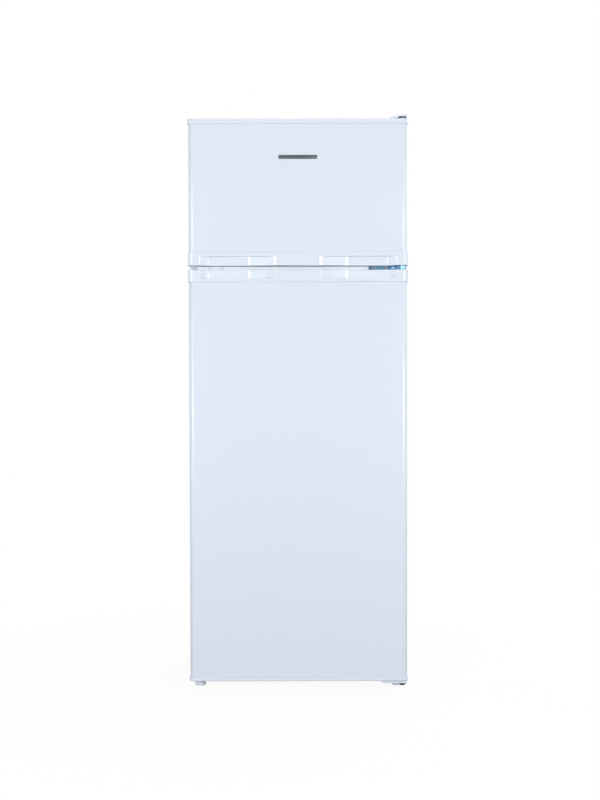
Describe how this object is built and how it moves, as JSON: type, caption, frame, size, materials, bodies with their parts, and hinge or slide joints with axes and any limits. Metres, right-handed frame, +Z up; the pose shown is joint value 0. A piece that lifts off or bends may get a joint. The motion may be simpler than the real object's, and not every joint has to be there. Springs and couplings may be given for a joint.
{
  "type": "top freezer refrigerator",
  "caption": "Free-standing two-door refrigerator with a freezer on top, hinged on the right, with finger scoops between the doors.",
  "frame": {"origin": "on the floor, at the middle of the overall width and depth", "axes": "+Z up, -Y out through the doors, +X towards the hinged side, which is on the right as seen from the front"},
  "size_m": [0.545, 0.555, 1.43],
  "materials": {
    "white_painted_steel": "smooth white powder coat, satin",
    "white_plastic": "moulded white plastic, soft gloss",
    "liner_plastic": "thermoformed white polystyrene",
    "insulation": "rigid foam, pale yellow",
    "galvanised_steel": "galvanised sheet",
    "zinc_plated_steel": "zinc plated",
    "black_painted_steel": "black paint, satin",
    "black_plastic": "moulded black plastic",
    "copper_tube": "drawn copper tube, dull",
    "aluminium_plate": "roll bonded, satin",
    "clear_plastic": "clear moulded polystyrene",
    "shelf_glass": "toughened float glass",
    "grey_rubber": "soft light grey vinyl",
    "dark_rubber": "black rubber",
    "badge_metal": "brushed, plain",
    "bush_plastic": "natural acetal"
  },
  "bodies": {
    "cabinet": {"left_side_panel": "white_painted_steel", "right_side_panel": "white_painted_steel", "top_panel": "white_painted_steel", "back_panel": "galvanised_steel", "bottom_panel": "galvanised_steel", "compressor_step_panel": "galvanised_steel", "insulation_foam": "insulation", "freezer_liner": "liner_plastic", "fridge_liner": "liner_plastic", "centre_rail": "white_plastic", "evaporator_plates": "aluminium_plate", "freezer_shelf": "white_plastic", "glass_shelf_panes": "shelf_glass", "glass_shelf_trims": "white_plastic", "control_housing": "white_plastic", "thermostat_body": "aluminium_plate", "lamp_module": "liner_plastic", "lamp_lens": "clear_plastic", "top_hinge_bracket": "zinc_plated_steel", "top_hinge_cover": "white_plastic", "middle_hinge_bracket": "zinc_plated_steel", "bottom_hinge_bracket": "white_painted_steel", "left_foot_bracket": "zinc_plated_steel", "hinge_screws": "zinc_plated_steel", "hinge_hole_plugs": "white_plastic", "compressor_shell": "black_painted_steel", "compressor_base_plate": "galvanised_steel", "compressor_mounts": "dark_rubber", "starter_relay_cover": "black_plastic", "drip_tray": "black_plastic", "filter_drier": "copper_tube", "refrigerant_pipes": "copper_tube", "condenser_tube": "black_painted_steel", "condenser_wires": "black_painted_steel", "condenser_brackets": "black_plastic", "drain_spout": "white_plastic", "cord_gland": "dark_rubber", "rear_feet": "black_plastic"},
    "freezer_door": {"freezer_door_panel": "white_painted_steel", "freezer_door_top_cap": "white_plastic", "freezer_door_handle_trim": "white_plastic", "freezer_door_foam": "insulation", "freezer_door_liner": "liner_plastic", "freezer_door_gasket": "grey_rubber", "freezer_door_racks": "clear_plastic", "freezer_door_bushes": "bush_plastic", "door_badge": "badge_metal"},
    "fridge_door": {"fridge_door_panel": "white_painted_steel", "fridge_door_handle_trim": "white_plastic", "fridge_door_bottom_cap": "white_plastic", "fridge_door_foam": "insulation", "fridge_door_liner": "liner_plastic", "fridge_door_gasket": "grey_rubber", "fridge_door_racks": "clear_plastic", "fridge_door_bushes": "bush_plastic"},
    "drawer": {"crisper_drawer": "clear_plastic"},
    "knob": {"thermostat_knob": "white_plastic"},
    "switch_plunger": {"door_switch_plunger": "white_plastic"},
    "left_foot": {"left_levelling_foot": "white_plastic"},
    "right_foot": {"right_levelling_foot": "white_plastic"}
  },
  "joints": [
    {"name": "freezer_door_hinge", "type": "hinge", "parent": "cabinet", "child": "freezer_door", "pos_m": [0.2595, -0.2555, 1.24], "axis": [0, 0, 1], "range_deg": [0, 120]},
    {"name": "fridge_door_hinge", "type": "hinge", "parent": "cabinet", "child": "fridge_door", "pos_m": [0.2595, -0.2555, 0.54], "axis": [0, 0, 1], "range_deg": [0, 120]},
    {"name": "crisper_slide", "type": "slide", "parent": "cabinet", "child": "drawer", "axis": [0, -1, 0], "range_m": [0, 0.12]},
    {"name": "door_switch_travel", "type": "slide", "parent": "cabinet", "child": "switch_plunger", "axis": [0, -1, 0], "range_m": [0, 0.006]},
    {"name": "thermostat_turn", "type": "hinge", "parent": "cabinet", "child": "knob", "pos_m": [0.19, -0.095, 0.965], "axis": [-1, 0, 0], "range_deg": [0, 300]},
    {"name": "left_foot_adjust", "type": "slide", "parent": "cabinet", "child": "left_foot", "axis": [0, 0, -1], "range_m": [0, 0.01]},
    {"name": "right_foot_adjust", "type": "slide", "parent": "cabinet", "child": "right_foot", "axis": [0, 0, -1], "range_m": [0, 0.01]}
  ],
  "couplings": [
    {"joint": "crisper_slide", "follows": "fridge_door_hinge", "m_per_rad": 0.0572},
    {"joint": "door_switch_travel", "follows": "fridge_door_hinge", "m_per_rad": 0.00286}
  ]
}
